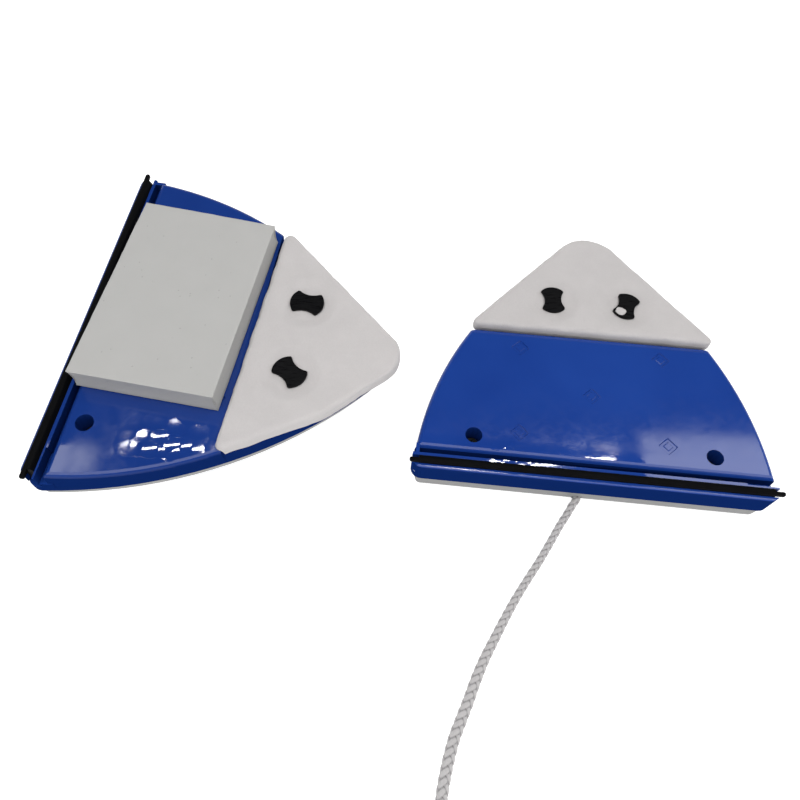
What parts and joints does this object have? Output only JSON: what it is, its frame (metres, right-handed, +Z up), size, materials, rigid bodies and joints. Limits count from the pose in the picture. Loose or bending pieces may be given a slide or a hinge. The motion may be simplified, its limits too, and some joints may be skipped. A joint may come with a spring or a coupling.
{
  "type": "magnetic glass cleaner",
  "caption": "Two-sided magnetic window cleaner: two pick-shaped halves with felt pads and rubber blades, one on a safety rope, one with a grip and a foam spacer.",
  "frame": {"origin": "on the table, under the middle of the box around both halves (the rope is left out of it)", "axes": "+X from the inner half on the left to the outer half on the right, +Y away from the rope's coil, +Z up, the way the wiping faces look"},
  "size_m": [0.3807, 0.4016, 0.0831],
  "materials": {
    "blue_plastic": "moulded, glossy",
    "white_plastic": "moulded, satin",
    "black_plastic": "moulded, satin",
    "blade_rubber": "smooth, extruded",
    "felt": "needled felt",
    "foam": "closed-cell foam with fine pores",
    "steel": "zinc plated",
    "magnet": "nickel plated",
    "rope_fibre": "braided nylon",
    "tie_strap": "woven strap"
  },
  "bodies": {
    "outer_half": {"outer_face_plate": "blue_plastic", "outer_back_shell": "white_plastic", "outer_felt_pad": "felt", "outer_yoke_plate": "steel", "outer_case_screws": "steel", "outer_magnet_1": "magnet", "outer_magnet_2": "magnet", "outer_magnet_3": "magnet", "outer_magnet_4": "magnet", "outer_magnet_5": "magnet", "rope_grommet": "black_plastic", "rope_knot": "rope_fibre", "rope": "rope_fibre", "rope_coil": "rope_fibre", "rope_end": "rope_fibre", "coil_tie": "tie_strap", "pull_ring": "white_plastic"},
    "outer_blade": {"outer_squeegee_blade": "blade_rubber"},
    "outer_left_button": {"outer_button_left": "black_plastic"},
    "outer_right_button": {"outer_button_right": "black_plastic"},
    "inner_half": {"inner_face_plate": "blue_plastic", "inner_back_shell": "white_plastic", "inner_felt_pad": "felt", "inner_yoke_plate": "steel", "inner_case_screws": "steel", "inner_magnet_1": "magnet", "inner_magnet_2": "magnet", "inner_magnet_3": "magnet", "inner_magnet_4": "magnet", "inner_magnet_5": "magnet", "grip_handle": "blue_plastic", "handle_screws": "steel"},
    "inner_blade": {"inner_squeegee_blade": "blade_rubber"},
    "inner_left_button": {"inner_button_left": "black_plastic"},
    "inner_right_button": {"inner_button_right": "black_plastic"},
    "spacer": {"spacer_block": "foam"}
  },
  "joints": [
    {"name": "inner_lift", "type": "slide", "parent": "outer_half", "child": "inner_half", "axis": [0, 0, 1], "range_m": [0, 0.15]},
    {"name": "spacer_lift", "type": "slide", "parent": "inner_half", "child": "spacer", "axis": [0, 0, 1], "range_m": [0, 0.06]},
    {"name": "outer_blade_slide", "type": "slide", "parent": "outer_half", "child": "outer_blade", "axis": [0.9963, -0.0854, 0], "range_m": [0, 0.19]},
    {"name": "inner_blade_slide", "type": "slide", "parent": "inner_half", "child": "inner_blade", "axis": [-0.1461, -0.9893, 0], "range_m": [0, 0.19]},
    {"name": "outer_left_button_turn", "type": "hinge", "parent": "outer_half", "child": "outer_left_button", "pos_m": [0.08057, 0.03782, 0.035], "axis": [0, 0, 1], "continuous": true},
    {"name": "outer_right_button_turn", "type": "hinge", "parent": "outer_half", "child": "outer_right_button", "pos_m": [0.12361, 0.03413, 0.035], "axis": [0, 0, 1], "continuous": true},
    {"name": "inner_left_button_turn", "type": "hinge", "parent": "inner_half", "child": "inner_left_button", "pos_m": [-0.06069, 0.00519, 0.0715], "axis": [0, 0, 1], "continuous": true},
    {"name": "inner_right_button_turn", "type": "hinge", "parent": "inner_half", "child": "inner_right_button", "pos_m": [-0.06701, -0.03755, 0.0715], "axis": [0, 0, 1], "continuous": true}
  ]
}
